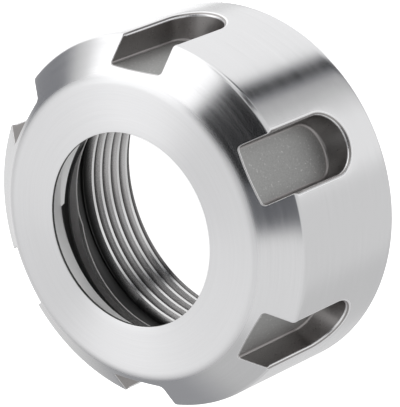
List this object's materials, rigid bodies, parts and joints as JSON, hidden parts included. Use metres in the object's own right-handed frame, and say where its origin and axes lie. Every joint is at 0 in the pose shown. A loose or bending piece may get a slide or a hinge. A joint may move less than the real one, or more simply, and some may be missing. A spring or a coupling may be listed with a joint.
{
  "type": "collet nut",
  "caption": "Round steel clamping nut with a coned nose, spanner slots round its edge, a collet seat with an off-centre lip behind it, and a fine inside thread for the spindle.",
  "frame": {"origin": "centre of the threaded rear face, on the nut's axis; the nut stands on that face", "axes": "+Z along the nut's axis from the rear face to the nose, +X through the middle of a spanner slot"},
  "size_m": [0.042, 0.042, 0.02],
  "materials": {
    "steel": "hardened steel, turned and ground bright, slots milled matt"
  },
  "bodies": {
    "root": {"nut_body": "steel"}
  },
  "joints": []
}
